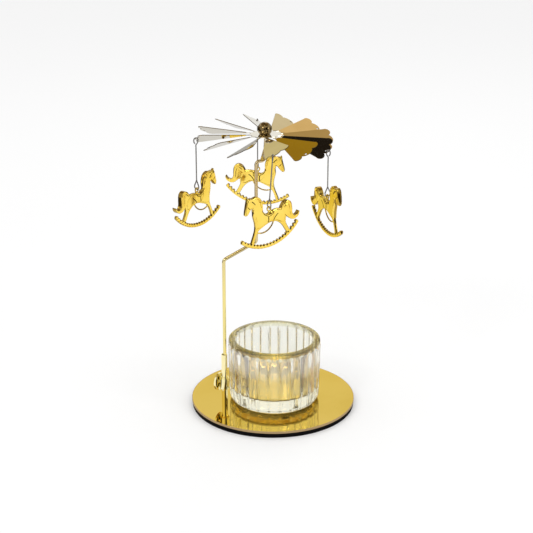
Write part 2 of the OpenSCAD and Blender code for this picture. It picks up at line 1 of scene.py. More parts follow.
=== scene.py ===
# %% [markdown]
# A candle carousel. Warm air from a tealight in the glass cup turns a rotor of twisted blades on a
# needle, and four cast rocking horses hang from the blades. The engineering model gives every rigid
# piece its size and place. This lesson dresses it: it gives each piece its finish, and remodels the
# glass, the wires and the horses more softly than a machine drawing does. Lengths are metres, and the
# tables are in millimetres, because small things are easier to read that way.

# %% Load the frame
import math

import bpy
from mathutils import Matrix, Vector


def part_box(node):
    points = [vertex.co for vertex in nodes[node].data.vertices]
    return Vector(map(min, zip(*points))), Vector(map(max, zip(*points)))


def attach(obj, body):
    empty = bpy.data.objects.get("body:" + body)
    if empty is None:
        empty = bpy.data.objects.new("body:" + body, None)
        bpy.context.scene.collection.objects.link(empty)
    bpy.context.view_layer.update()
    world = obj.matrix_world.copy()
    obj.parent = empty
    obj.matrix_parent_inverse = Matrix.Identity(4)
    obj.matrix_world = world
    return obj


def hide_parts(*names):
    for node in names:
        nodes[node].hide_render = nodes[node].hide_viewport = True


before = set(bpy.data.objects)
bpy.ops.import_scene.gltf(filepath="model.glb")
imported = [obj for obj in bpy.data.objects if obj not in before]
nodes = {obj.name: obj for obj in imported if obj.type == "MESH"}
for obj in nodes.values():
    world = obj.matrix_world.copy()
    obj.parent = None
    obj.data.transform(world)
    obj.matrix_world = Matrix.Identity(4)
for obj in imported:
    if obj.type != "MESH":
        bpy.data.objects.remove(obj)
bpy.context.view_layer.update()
MM = 0.001

# %% [markdown]
# Colours are easiest to choose as the eye sees them, in sRGB from 0 to 255, but shaders work in linear
# light. One small helper turns one into the other. A few tones of the studio are given in linear light.

# %% Colours
def colour(r, g, b):
    """An sRGB colour, 0 to 255, as the linear RGBA that shaders use."""
    def linear(v):
        v /= 255
        return v / 12.92 if v <= 0.04045 else ((v + 0.055) / 1.055) ** 2.4
    return (linear(r), linear(g), linear(b), 1.0)


WHITE, BLACK, DARK_ROOM = (1, 1, 1, 1), (0, 0, 0, 1), (0.09, 0.07, 0.03, 1)
print("pure red in linear light", colour(255, 0, 0))

# %% [markdown]
# A material's maths reads best as plain expressions. Num wraps one socket of a node tree, and each
# operator adds the Math node that does it. Finish holds one tree and makes any other node in one call.

# %% Shader maths
class Num:
    """A number that changes over a surface: a socket that takes + - * / and the like."""

    def __init__(self, tree, socket):
        self.tree, self.socket = tree, socket

    def _maths(self, operation, *values):
        node = self.tree.nodes.new("ShaderNodeMath")
        node.operation = operation
        for slot, value in zip(node.inputs, values):
            if isinstance(value, Num):
                self.tree.links.new(value.socket, slot)
            else:
                slot.default_value = value
        return Num(self.tree, node.outputs[0])

    def __add__(self, other): return self._maths("ADD", self, other)
    def __radd__(self, other): return self._maths("ADD", other, self)
    def __sub__(self, other): return self._maths("SUBTRACT", self, other)
    def __rsub__(self, other): return self._maths("SUBTRACT", other, self)
    def __mul__(self, other): return self._maths("MULTIPLY", self, other)
    def __truediv__(self, other): return self._maths("DIVIDE", self, other)
    def above(self, other): return self._maths("GREATER_THAN", self, other)
    def largest(self, other): return self._maths("MAXIMUM", self, other)
    def root(self): return self._maths("SQRT", self)

    def ramp(self, low, high):
        """0 below low, 1 above high, and smooth between."""
        node = self.tree.nodes.new("ShaderNodeMapRange")
        node.interpolation_type = "SMOOTHSTEP"
        self.tree.links.new(self.socket, node.inputs["Value"])
        node.inputs["From Min"].default_value = low
        node.inputs["From Max"].default_value = high
        return Num(self.tree, node.outputs["Result"])


class Finish:
    """A material or a world under construction."""

    def __init__(self, owner):
        owner.use_nodes = True
        self.owner, self.tree = owner, owner.node_tree
        self.tree.nodes.clear()

    def node(self, kind, settings=None, inputs=None):
        """A node of this kind: its settings are set first, then its sockets get values or links."""
        made = self.tree.nodes.new(kind)
        for name, value in (settings or {}).items():
            setattr(made, name, value)
        for name, value in (inputs or {}).items():
            self.put(made.inputs[name], value)
        return made

    def put(self, socket, value):
        if isinstance(value, Num):
            value = value.socket
        if isinstance(value, bpy.types.NodeSocket):
            self.tree.links.new(value, socket)
        else:
            socket.default_value = value

    def num(self, socket):
        return Num(self.tree, socket)

    def place(self, axis=None):
        """The Object coordinate in metres: all of it, or X, Y or Z as a number."""
        coords = self.node("ShaderNodeTexCoord").outputs["Object"]
        if axis is None:
            return coords
        return self.num(self.node("ShaderNodeSeparateXYZ", inputs={"Vector": coords}).outputs[axis])

    def noise(self, scale, detail=2.0, stretch=(1, 1, 1)):
        """Cloudy noise from 0 to 1, with this many lumps a metre."""
        at = self.node("ShaderNodeMapping", inputs={"Vector": self.place(), "Scale": stretch})
        node = self.node("ShaderNodeTexNoise", inputs={"Vector": at.outputs[0], "Scale": scale,
                                                       "Detail": detail})
        return self.num(node.outputs["Fac"])

    def mix(self, factor, a, b):
        """Colour a where factor is 0, b where it is 1."""
        node = self.node("ShaderNodeMix", {"data_type": "RGBA"})
        self.put(node.inputs[0], factor)
        self.put(node.inputs[6], a)
        self.put(node.inputs[7], b)
        return node.outputs[2]

    def bump(self, height, distance, strength=1.0):
        return self.node("ShaderNodeBump", inputs={"Height": height, "Distance": distance,
                                                   "Strength": strength}).outputs[0]

    def principled(self, **inputs):
        """A Principled shader with these sockets, _ for a space."""
        return self.node("ShaderNodeBsdfPrincipled",
                         inputs={k.replace("_", " "): v for k, v in inputs.items()}).outputs[0]

    def clear(self, tint):
        """A shader that lets light straight through and tints it."""
        return self.node("ShaderNodeBsdfTransparent", inputs={"Color": tint}).outputs[0]

    def blend(self, factor, shader_a, shader_b):
        """Shader a where factor is 0, b where it is 1."""
        return self.node("ShaderNodeMixShader",
                         inputs={0: factor, 1: shader_a, 2: shader_b}).outputs[0]

    def end(self, shader):
        """Makes this shader the material's surface."""
        self.put(self.node("ShaderNodeOutputMaterial").inputs[0], shader)
        return self.owner

    def surface(self, **inputs):
        """Ends the material in one Principled shader with these sockets."""
        return self.end(self.principled(**inputs))


def new_finish(name):
    return Finish(bpy.data.materials.new(name))


def wear(obj, *materials):
    """The object takes these materials, and each face has the first one until it is told otherwise."""
    obj.data.materials.clear()
    for material in materials:
        obj.data.materials.append(material)


print("shader helpers ready")

# %% [markdown]
# Blender's operators act on whatever is selected. These helpers select one object alone, go in and out
# of edit mode, and pick vertices by a test on their place, so each later step is one short line.

# %% Editing by hand, in code
def only(*objs):
    """Selects these objects and nothing else. The last is the active one."""
    if bpy.context.object and bpy.context.object.mode != "OBJECT":
        bpy.ops.object.mode_set(mode="OBJECT")
    bpy.ops.object.select_all(action="DESELECT")
    for obj in objs:
        obj.select_set(True)
        bpy.context.view_layer.objects.active = obj


def pick(obj, test):
    """In edit mode: selects the vertices whose place passes the test, and says how many."""
    bpy.ops.object.mode_set(mode="EDIT")
    bpy.ops.mesh.select_mode(type="VERT")
    bpy.ops.mesh.select_all(action="DESELECT")
    bpy.ops.object.mode_set(mode="OBJECT")
    count = 0
    for v in obj.data.vertices:
        v.select = bool(test(v.co))
        count += v.select
    bpy.ops.object.mode_set(mode="EDIT")
    return count


def modify(obj, kind, **settings):
    """Adds a modifier with these settings and applies it."""
    only(obj)
    made = obj.modifiers.new(kind.title(), kind)
    for name, value in settings.items():
        setattr(made, name, value)
    bpy.ops.object.modifier_apply(modifier=made.name)


def settle(obj):
    """Applies the object's place, turn and scale to its mesh."""
    only(obj)
    bpy.ops.object.transform_apply(location=True, rotation=True, scale=True)


DOUBLES = 1e-7                                  # metres, far finer than any real detail


def tidy(obj, gap=0.001 * MM):
    """Merges vertices closer than this, drops loose ones and turns every face outwards."""
    only(obj)
    bpy.ops.object.mode_set(mode="EDIT")
    bpy.ops.mesh.select_all(action="SELECT")
    bpy.ops.mesh.remove_doubles(threshold=gap)
    bpy.ops.mesh.delete_loose()
    bpy.ops.mesh.select_all(action="SELECT")
    bpy.ops.mesh.normals_make_consistent(inside=False)
    bpy.ops.object.mode_set(mode="OBJECT")


def smooth(obj, degrees):
    """Shades the object smooth, but for edges sharper than this."""
    only(obj)
    bpy.ops.object.shade_smooth_by_angle(angle=math.radians(degrees))


def copy_of(obj, name):
    """A copy with a mesh of its own."""
    made = obj.copy()
    made.data = obj.data.copy()
    made.name = name
    made.animation_data_clear()
    bpy.context.scene.collection.objects.link(made)
    return made


print("editing helpers ready")

# %% [markdown]
# The camera stands well back with a long lens, above the rotor, and looks about 20 degrees down. It is
# level and square to the object, so upright lines stay nearly upright.

# %% Camera
camera = bpy.data.objects.new("camera", bpy.data.cameras.new("camera"))
bpy.context.scene.collection.objects.link(camera)
camera.data.lens, camera.data.sensor_width = 92.54, 36
camera.data.clip_start = 0.01
camera.location = Vector((-4, -769.1, 373.4)) * MM
aim = Vector((-4, 0, 88.9)) * MM
camera.rotation_euler = (aim - camera.location).to_track_quat("-Z", "Y").to_euler()
bpy.context.scene.camera = camera
bpy.context.scene.view_settings.view_transform = "Standard"
print("camera distance", round((aim - camera.location).length, 3), "m")

# %% [markdown]
# Polished metal shows what is round it, so the room is half of its look. The room here is a white
# studio with soft coloured cards, as a photographer sets up so that bright metal has depth: amber and
# brown ones overhead and behind, dark ones beside the camera. Each flat blade sees one small patch of
# the room. Only glossy rays see the cards, and the camera itself sees plain white.

# %% Studio world: the directions
world = bpy.data.worlds.new("studio")
bpy.context.scene.world = world
room = Finish(world)
ways = room.node("ShaderNodeSeparateXYZ",
                 inputs={"Vector": room.node("ShaderNodeTexCoord").outputs["Generated"]})
way_x, way_y, way_z = (room.num(socket) for socket in ways.outputs)


def card(azimuth, elevation, reach, soft):
    """1 inside a round card in that direction, degrees from +X and up, and 0 outside it."""
    a, e = math.radians(azimuth), math.radians(elevation)
    along = (way_x * (math.cos(e) * math.cos(a)) + way_y * (math.cos(e) * math.sin(a))
             + way_z * math.sin(e))
    return along.ramp(math.cos(math.radians(reach + soft)), math.cos(math.radians(reach)))


# Azimuth, elevation, reach and softness in degrees, and the card's red, green and blue. A later card
# lies over an earlier one.
CARDS = [
    (-55, 18, 22, 8, (0.03, 0.02, 0.01)),       # right of the camera, for the dark side of the hub
    (90, 80, 30, 20, (0.45, 0.36, 0.2)),        # a warm ceiling, for the top of the hub
    (93, 72, 8, 5, (0.015, 0.011, 0.007)),      # these six behind and overhead, one for a blade each
    (120, 48, 8, 4, (0.37, 0.21, 0.012)),
    (56, 60, 8, 4, (0.51, 0.33, 0.117)),
    (60, 43, 7, 4, (0.83, 0.56, 0.235)),
    (70, 22, 8, 4, (0.75, 0.63, 0.4)),
    (108, 19, 7, 4, (0.69, 0.58, 0.29)),
    (-95, 12, 10, 8, (0.08, 0.06, 0.04)),       # the camera itself and who stands behind it
    (-40, 62, 10, 10, (0.3, 0.24, 0.12)),       # tan, high on the right and low on the left
    (175, 10, 8, 12, (0.35, 0.28, 0.14)),
    (-122, 40, 3.5, 2, (6, 6, 5.6)),            # small bright windows, for the sparkle on round forms
    (-60, 46, 3.5, 2, (6, 6, 5.6)),
    (-92, 66, 3, 2, (5, 5, 4.6)),
    (150, 35, 4, 2, (5, 5, 4.6)),
]
seen_light = WHITE
for azimuth, elevation, reach, soft, rgb in CARDS:
    seen_light = room.mix(card(azimuth, elevation, reach, soft), seen_light, (*rgb, 1))

# Low down behind, the room is dark, but for a gap straight behind the object
gap = (1 - (way_x * way_x).root().ramp(0.14, 0.2)) * 0.9
band = (1 - way_z.ramp(0.1, 0.2)) * way_z.ramp(-0.3, -0.2) * way_y.ramp(0.0, 0.3) * (1 - gap)
seen_light = room.mix(band, seen_light, DARK_ROOM)
print("cards:", len(CARDS))

# %% Studio world: who sees what
MATT_LIGHT = 0.9
path = room.node("ShaderNodeLightPath")
is_camera = room.num(path.outputs["Is Camera Ray"])
is_glossy = room.num(path.outputs["Is Glossy Ray"])
is_through = room.num(path.outputs["Is Transmission Ray"])
light = room.mix(is_glossy * (1 - is_through) * (1 - is_camera), WHITE, seen_light)
matt = (1 - is_through.largest(is_glossy)) * (1 - is_camera)
background = room.node("ShaderNodeBackground",
                       inputs={"Color": light, "Strength": 1 - matt * (1 - MATT_LIGHT)})
room.put(room.node("ShaderNodeOutputWorld").inputs[0], background.outputs[0])
print("world nodes:", len(room.tree.nodes))

# %% [markdown]
# Three soft lamps give the horses and the hub their highlights and the floor its faint shadow. They are
# weak, because the white room already lights everything evenly.

# %% Lamps
LAMP_AIM = Vector((0, 0, 0.1))


def lamp(name, place, watts, size):
    """A square soft lamp at this place in millimetres, aimed at the middle of the object."""
    data = bpy.data.lights.new(name, "AREA")
    data.energy, data.size = watts, size
    obj = bpy.data.objects.new(name, data)
    bpy.context.scene.collection.objects.link(obj)
    obj.location = Vector(place) * MM
    obj.rotation_euler = (LAMP_AIM - obj.location).to_track_quat("-Z", "Y").to_euler()


lamp("key", (-500, -600, 700), 0.9, 0.16)
lamp("fill", (650, -350, 420), 0.5, 0.16)
lamp("back", (100, 700, 800), 0.6, 0.3)
print("lamps:", len(bpy.data.lights))

# %% [markdown]
# The floor is a broad white sheet. A pale backdrop is not needed, because the camera sees the white
# world past its edge. Behind and beside the object the sheet carries painted dark parts that only
# mirror rays see. They stand in for a dark room, and these painted dark reflections draw the thin dark
# lines on every polished edge. A lane straight behind stays pale for the two blades that are seen
# nearly edge-on.

# %% Floor
bpy.ops.object.select_all(action="DESELECT")
bpy.ops.mesh.primitive_circle_add(vertices=96, radius=6, fill_type="NGON", location=(0, 0, 0))
floor = bpy.context.object
floor.name = "floor"
settle(floor)
sheet_finish = new_finish("floor_white")
floor_path = sheet_finish.node("ShaderNodeLightPath")
camera_ray = sheet_finish.num(floor_path.outputs["Is Camera Ray"])
mirror_ray = sheet_finish.num(floor_path.outputs["Is Glossy Ray"])
fx, fy = sheet_finish.place("X"), sheet_finish.place("Y")
span = (fx * fx + fy * fy).root()
to_side, to_back = fx / span, fy / span

# Each dark part is bounded by its direction from the middle and by its distance in metres
flank = (fx * fx).root() / span
lane = (1 - flank.ramp(0.14, 0.2)) * (0.5 + to_side.ramp(-0.01, 0.01) * 0.4)
far = span.ramp(0.5, 0.6) * to_back.ramp(0.0, 0.2) * (1 - lane)
behind = to_back.ramp(0.5, 0.7) * span.ramp(0.1, 0.2) * 0.2
left = (0 - to_side).ramp(0.86, 0.9) * span.ramp(0.3, 0.33)
right = to_side.ramp(0.35, 0.45) * to_back.ramp(0.6, 0.7) * span.ramp(0.3, 0.33)
near = (((fx * 0.643 - fy * 0.766) / span).ramp(0.972, 0.985) * span.ramp(0.06, 0.07)
        * (1 - span.ramp(0.12, 0.14)))
only_mirror = mirror_ray * (1 - camera_ray)
# Painted dark reflection: these parts of the sheet turn dark for mirror rays only
dark = far.largest(left).largest(right).largest(near * 0.4).largest(behind) * only_mirror

# A faint glow whitens the sheet for the camera and, except behind, for mirror rays
front = 1 - to_back.ramp(0.75, 0.9)
glow = camera_ray * 0.1 + only_mirror * (1 - dark) * front * 0.12
wear(floor, sheet_finish.surface(
    Base_Color=sheet_finish.mix(dark, (0.9, 0.9, 0.9, 1), DARK_ROOM), Roughness=0.9,
    Specular_IOR_Level=0.0, Emission_Strength=1.0,
    Emission_Color=sheet_finish.mix(glow, BLACK, WHITE)))
print("floor nodes:", len(sheet_finish.tree.nodes))

# %% [markdown]
# Every gold piece is plated steel, so all share one recipe: a metal whose tint drifts softly between
# two close colours, with a little cloudiness and fine specks in its gloss, because no plated sheet is a
# perfect mirror. Only the colours and the amounts differ from piece to piece.

# %% Gold plating
def plating(name, tint, deep, gloss, edge=WHITE, coat=0.0):
    """A plated metal between two tints, with this roughness, edge tint and weight of clear coat."""
    finish = new_finish(name)
    cloud = finish.noise(60, 3).ramp(0.35, 0.7)
    speck = finish.noise(900, 2)
    return finish.surface(Base_Color=finish.mix(cloud, tint, deep), Metallic=1.0,
                          Roughness=gloss + cloud * 0.03 + speck * 0.02, Specular_Tint=edge,
                          Coat_Weight=coat)


rotor_gold = plating("rotor_gold", colour(228, 223, 208), colour(222, 216, 198), 0.03)
sheet_edge = plating("sheet_edge", colour(104, 84, 42), colour(84, 66, 30), 0.3)
# The hub's plating is darkened: a painted dark reflection of the dark surroundings that the ball mirrors
hub_gold = plating("hub_gold", colour(118, 96, 50), colour(104, 84, 42), 0.03, coat=0.6)
post_gold = plating("post_gold", colour(253, 243, 192), colour(248, 236, 176), 0.04)
horse_gold = plating("horse_gold", colour(250, 219, 106), colour(243, 204, 82), 0.07,
                     edge=colour(255, 228, 140))
wire_silver = plating("wire_silver", colour(140, 138, 136), colour(120, 118, 118), 0.2)
screw_steel = plating("screw_steel", colour(190, 190, 188), colour(170, 170, 168), 0.3)
# Painted shading for the horses: on their cast edges a painted dark reflection, and on the bottoms of
# what is cut into them a darker painted shade
painted_edge_dark_gold = plating("painted_edge_dark_gold", colour(176, 146, 66), colour(148, 118, 46), 0.12)
painted_cut_shade_gold = plating("painted_cut_shade_gold", colour(84, 62, 16), colour(62, 44, 8), 0.25)
print("plated finishes ready")

# %% [markdown]
# The base plate is a mirror with a cut edge of a dull grey brown. Which of the two a point belongs to
# follows from its distance from the plate's centre and its height, so the mirror stops at the rim.

# %% Base plate and pad
plate_finish = new_finish("plate_mirror")
px, py, pz = (plate_finish.place(axis) for axis in ("X", "Y", "Z"))
reach = (px * px + py * py).root()
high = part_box("base_plate")[1]
RIM_WIDTH, RIM_DEPTH = 0.25 * MM, 0.08 * MM
rim = reach.above(high[0] - RIM_WIDTH).largest(1 - pz.above(high[2] - RIM_DEPTH))
smudge = plate_finish.noise(28, 4).ramp(0.45, 0.75)
hairs = plate_finish.noise(700, 2, (1, 0.05, 1)).ramp(0.62, 0.8)
plate_tint = plate_finish.mix(smudge, colour(222, 194, 108), colour(216, 187, 100))
wear(nodes["base_plate"], plate_finish.surface(
    Base_Color=plate_finish.mix(rim, plate_tint, colour(176, 150, 112)),
    Metallic=1 - rim * 0.55, Roughness=0.025 + smudge * 0.02 + hairs * 0.015 + rim * 0.4,
    Specular_Tint=colour(238, 218, 160)))

pad_finish = new_finish("felt_black")
fuzz = pad_finish.noise(2600, 4)
wear(nodes["base_pad"], pad_finish.surface(
    Base_Color=pad_finish.mix(fuzz, colour(4, 4, 5), colour(16, 14, 15)), Roughness=0.95,
    Specular_IOR_Level=0.1, Normal=pad_finish.bump(fuzz, 0.12 * MM, 0.7)))
for name in ("fixing_screw", "screw_washer"):
    wear(nodes[name], screw_steel)
print("plate radius", round(high[0] / MM, 1), "mm")

# %% [markdown]
# The post, its collar and the thumb screw share one pale plating. The stem is a drawn rod: its gloss is
# streaked along its length, and its tint goes from yellow low down to paler towards the rotor.

# %% Post and stem
for name in ("post_tube", "clamp_collar", "thumb_screw"):
    wear(nodes[name], post_gold)

stem_finish = new_finish("stem_gold")
height = stem_finish.place("Z").ramp(0.07, 0.125)
drawn = stem_finish.noise(500, 2, (1, 1, 0.05))
wear(nodes["stem_rod"], stem_finish.surface(
    Base_Color=stem_finish.mix(height, colour(238, 222, 146), colour(206, 186, 144)), Metallic=1.0,
    Roughness=0.08 + drawn * 0.08, Specular_Tint=colour(240, 226, 190)))
print("stem nodes:", len(stem_finish.tree.nodes))

# %% [markdown]
# The rotor is stamped from one sheet. The faces on the cut edges of its blades take a darker brown
# gold than the polished faces. A face belongs to an edge where it stands across the flat of its own
# blade.

# %% Rotor
HUB_X, FIRST_BLADE, BLADES, BLADE_TILT = -5 * MM, 98.3, 12, 27
NECK_END = 11.5 * MM
blade_step = 360 / BLADES
rotor = nodes["rotor_blades"]
wear(rotor, rotor_gold, sheet_edge)
for face in rotor.data.polygons:
    arm = face.center - Vector((HUB_X, 0, 0))
    if math.hypot(arm.x, arm.y) > NECK_END:
        blade = round((math.degrees(math.atan2(arm.y, arm.x)) - FIRST_BLADE) / blade_step)
        flat = (Matrix.Rotation(math.radians(FIRST_BLADE + blade_step * blade), 3, "Z")
                @ Matrix.Rotation(math.radians(BLADE_TILT), 3, "X")) @ Vector((0, 0, 1))
        face.material_index = int(abs(face.normal.dot(flat)) < 0.7)
# The hub ball and the bearing cup wear that darkened plating, a painted dark reflection
wear(nodes["hub_ball"], hub_gold)
wear(nodes["bearing_cup"], hub_gold)
print("edge faces:", sum(face.material_index for face in rotor.data.polygons))

# %% [markdown]
# The tumbler is pressed glass with ribs all round. It starts as a plain cylinder with ten columns to a
# rib. Rings are cut round it, and each ring's columns are pushed in or out to the rib's curve or to the
# rounded foot, whichever is smaller. Near the top the ribs run out into a smooth rim. A cone then bores
# the cup, and a bevel melts every pressed edge.

# %% Glass cup: the outside
CUP_X, CUP_Y, CUP_Z = 0.8 * MM, -1.5 * MM, 4.1 * MM
CUP_H, CUP_R, RIBS, COLUMNS = 39.3 * MM, 28.5 * MM, 26, 10
# Each rib is an arc of radius RIB_R, whose centre is RIB_AT from the axis
RIB_AT, RIB_R = 24.974 * MM, 3.526 * MM
# Height above the plate, and the largest radius that the foot or the draft leaves there
RINGS = [(0.0, 24.2), (0.25, 25.0), (0.7, 25.75), (1.4, 26.4), (2.3, 26.95), (3.4, 27.4),
         (6.0, 27.5), (12.0, 27.68), (20.0, 27.9), (30.0, 28.2), (34.6, 28.35), (35.2, 28.37),
         (35.8, 28.4), (36.4, 28.4), (37.0, 28.35), (37.6, 28.25), (38.1, 28.1), (38.6, 27.85),
         (39.0, 27.5), (39.3, 27.0)]
# The ribs run out between these heights, to a round rim of this radius
RIM_FROM, RIM_TO, RIM_R = 34.6, 37.6, 27.95


def rib_radius(column):
    """Radius of the ribbed wall at a column, counted from a valley."""
    from_valley = abs((column + 0.5 * COLUMNS) % COLUMNS - 0.5 * COLUMNS) * 360 / RIBS / COLUMNS
    off = math.radians(180 / RIBS) - math.radians(from_valley)
    across = RIB_AT * math.sin(off)
    return RIB_AT * math.cos(off) + math.sqrt(RIB_R ** 2 - across ** 2)


bpy.ops.object.select_all(action="DESELECT")
bpy.ops.mesh.primitive_cylinder_add(vertices=RIBS * COLUMNS, radius=CUP_R, depth=CUP_H,
                                    location=(0, 0, CUP_H / 2))
cup = bpy.context.object
cup.name = "ribbed_cup"
settle(cup)
bpy.ops.object.mode_set(mode="EDIT")
for z, _ in RINGS[1:-1]:
    bpy.ops.mesh.select_all(action="SELECT")
    bpy.ops.mesh.bisect(plane_co=(0, 0, z * MM), plane_no=(0, 0, 1))
bpy.ops.object.mode_set(mode="OBJECT")
print("cup wall vertices:", len(cup.data.vertices))

# %% Glass cup: the ribs and the foot
step = 2 * math.pi / (RIBS * COLUMNS)
for z, limit in RINGS:
    for level in range(COLUMNS // 2 + 1):
        def here(co):
            """True on this ring, as many columns from a valley as level says."""
            if abs(co.z - z * MM) > 0.05 * MM:
                return False
            column = round(math.atan2(co.y, co.x) / step) % COLUMNS
            return min(column, COLUMNS - column) == level
        # How far this ring has gone over from ribs to rim, eased at both ends
        share = min(max((z - RIM_FROM) / (RIM_TO - RIM_FROM), 0), 1)
        share = share * share * (3 - 2 * share)
        ribbed = rib_radius(level) * (1 - share) + RIM_R * MM * share
        factor = min(ribbed, limit * MM) / CUP_R
        only(cup)
        if pick(cup, here):
            bpy.ops.transform.resize(value=(factor, factor, 1), center_override=(0, 0, z * MM))
bpy.ops.object.mode_set(mode="OBJECT")
print("cup", [round(v / MM, 1) for v in cup.dimensions], "mm")

# %% Glass cup: the bore and the melted edges
# The boring cone runs on past the rim by a fifth of the depth
BORE_LOW, BORE_HIGH, FLOOR_T, RUN_ON = 22.8 * MM, 23.9 * MM, 7.6 * MM, 1.2
bore_h = CUP_H - FLOOR_T
bpy.ops.object.select_all(action="DESELECT")
bpy.ops.mesh.primitive_cone_add(vertices=160, radius1=BORE_LOW,
                                radius2=BORE_LOW + (BORE_HIGH - BORE_LOW) * RUN_ON,
                                depth=bore_h * RUN_ON,
                                location=(0, 0, FLOOR_T + bore_h * RUN_ON / 2))
bore = bpy.context.object
settle(bore)
modify(bore, "BEVEL", width=1.2 * MM, segments=5, limit_method="ANGLE", angle_limit=0.7)
modify(cup, "BOOLEAN", object=bore, operation="DIFFERENCE", solver="EXACT")
bpy.data.objects.remove(bore)
tidy(cup)
modify(cup, "BEVEL", width=0.45 * MM, segments=3, limit_method="ANGLE", angle_limit=0.75)
LIFT = 0.02 * MM                                # the foot stays this far clear of the plate
cup.location = (CUP_X, CUP_Y, CUP_Z + LIFT)
settle(cup)
smooth(cup, 50)
print("cup faces:", len(cup.data.polygons))

# %% [markdown]
# The glass is clear with a faint yellow tint that deepens towards the foot. Three thin layers lie over
# it by height. Light goes partly straight through the melted rim with an olive gold tint, a painted
# reflection of the gold plate. A dark line of painted shade marks the corner of the bore. The upper
# wall has a sheen on its outer face only.

# %% Glass cup: the finish
glass_finish = new_finish("pressed_glass")
melt = glass_finish.noise(160, 2, (1, 1, 0.35))
gx, gy, gz = (glass_finish.place(axis) for axis in ("X", "Y", "Z"))
gx, gy, gz = gx - CUP_X, gy - CUP_Y, gz - CUP_Z
reach_in = (gx * gx + gy * gy).root()
corner = (reach_in.ramp(20.6 * MM, 21.6 * MM) * (1 - reach_in.above(24.2 * MM))
          * gz.ramp(7.3 * MM, 7.6 * MM) * (1 - gz.ramp(8.4 * MM, 9.2 * MM)))
brim = gz.ramp(36.4 * MM, 37.4 * MM)
inner_side = glass_finish.num(glass_finish.node("ShaderNodeNewGeometry").outputs["Backfacing"])
sheen = gz.ramp(20 * MM, 29 * MM) * reach_in.above(25.2 * MM) * (1 - brim) * (1 - inner_side)
foot_tint, wall_tint = (0.985, 0.98, 0.82, 1), (0.99, 0.992, 0.91, 1)
solid = glass_finish.principled(
    Base_Color=glass_finish.mix(gz.ramp(9 * MM, 24 * MM), foot_tint, wall_tint), Roughness=0.0,
    IOR=1.5, Transmission_Weight=1.0, Normal=glass_finish.bump(melt, 0.25 * MM, 0.25))
mirror = glass_finish.principled(Metallic=1.0, Roughness=0.02, Base_Color=WHITE)
# The rim's straight-through light is tinted olive gold, a painted reflection of the gold plate
rim_clear = glass_finish.blend(brim, glass_finish.clear(WHITE), glass_finish.clear((0.8, 0.77, 0.5, 1)))
# At the bore's corner a dark brown straight-through tint is a painted shade
clear = glass_finish.blend(corner, rim_clear, glass_finish.clear((0.2, 0.15, 0.03, 1)))
wear(cup, glass_finish.end(glass_finish.blend(
    0.06 + brim * 0.4 + corner * 0.7, glass_finish.blend(sheen * 0.26, solid, mirror), clear)))
print("glass nodes:", len(glass_finish.tree.nodes))
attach(cup, "cup")
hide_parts("glass_cup")

# %% [markdown]
# Rods, straps and ridges are all one thing: a round rod along a smooth line. The line is a Bezier curve
# with automatic handles, given a thickness and turned into a mesh with capped ends.

# %% Rods
STEPS, SIDES = 5, 3                             # the curve's steps to a knot, and its bevel's fineness


def rod(name, points, radius, ends=None, closed=False):
    """A round rod through these points in millimetres. ends is the radius at both ends."""
    bpy.ops.object.select_all(action="DESELECT")
    bpy.ops.curve.primitive_bezier_curve_add(location=(0, 0, 0))
    made = bpy.context.object
    made.name = name
    data = made.data
    data.splines.clear()
    line = data.splines.new("BEZIER")
    line.bezier_points.add(len(points) - 1)
    for i, (knot, place) in enumerate(zip(line.bezier_points, points)):
        knot.co = Vector(place) * MM
        knot.handle_left_type = knot.handle_right_type = "AUTO"
        if ends and i in (0, len(points) - 1):
            knot.radius = ends / radius
    line.use_cyclic_u = closed
    data.dimensions, data.resolution_u = "3D", STEPS
    data.bevel_depth, data.bevel_resolution = radius * MM, SIDES
    data.use_fill_caps = not closed
    only(made)
    bpy.ops.object.convert(target="MESH")
    tidy(bpy.context.object)
    return bpy.context.object


def both_faces(name, points, height, radius, ends=None):
    """The same rod on the near and the far face of a flat form, at this height off its middle."""
    pair = [rod(name, [(x, y, side * height) for x, y in points], radius, ends) for side in (1, -1)]
    only(*pair)
    bpy.ops.object.join()
    return bpy.context.object


print("rod helpers ready")

# %% [markdown]
# The four horses come from one pattern. The engineering solid is laid flat with its hanging eye at the
# origin, and the raised mane, tail, saddle rim and eye are added to it. A remesh fuses all of it into
# one skin, and a light smoothing rounds it as casting and plating do. The straps and the notches between
# the rocker's beads are then cut. Their walls get the darkest of three finishes, a painted shade. The
# faces round the outline and on the stirrup arc get the middle one, which paints dark reflection on the
# outline and shade on the arc.

# %% Horse: the pattern laid flat
# Where each eye hangs, the way the horse heads, and how far it hangs nose down, in degrees
HANGS = {"back": ((-9.434, 39.655, 138.127), -13, 6.5),
         "left": ((-44.655, -4.434, 138.127), 52, 4),
         "front": ((-2.616, -39.952, 138.157), 216, 8.5),
         "right": ((31.105, -15.806, 137.586), -67, 6.5)}


def hang(side):
    """Carries a flat horse to its place on that side."""
    eye, yaw, nose_down = HANGS[side]
    return (Matrix.Translation(Vector(eye) * MM) @ Matrix.Rotation(math.radians(yaw), 4, "Z")
            @ Matrix.Rotation(math.radians(90), 4, "X")
            @ Matrix.Rotation(math.radians(-nose_down), 4, "Z"))


pattern = copy_of(nodes["horse_back"], "horse_pattern")
pattern.parent = None
pattern.matrix_world = hang("back").inverted()
settle(pattern)
print("pattern", [round(v / MM, 2) for v in pattern.dimensions])

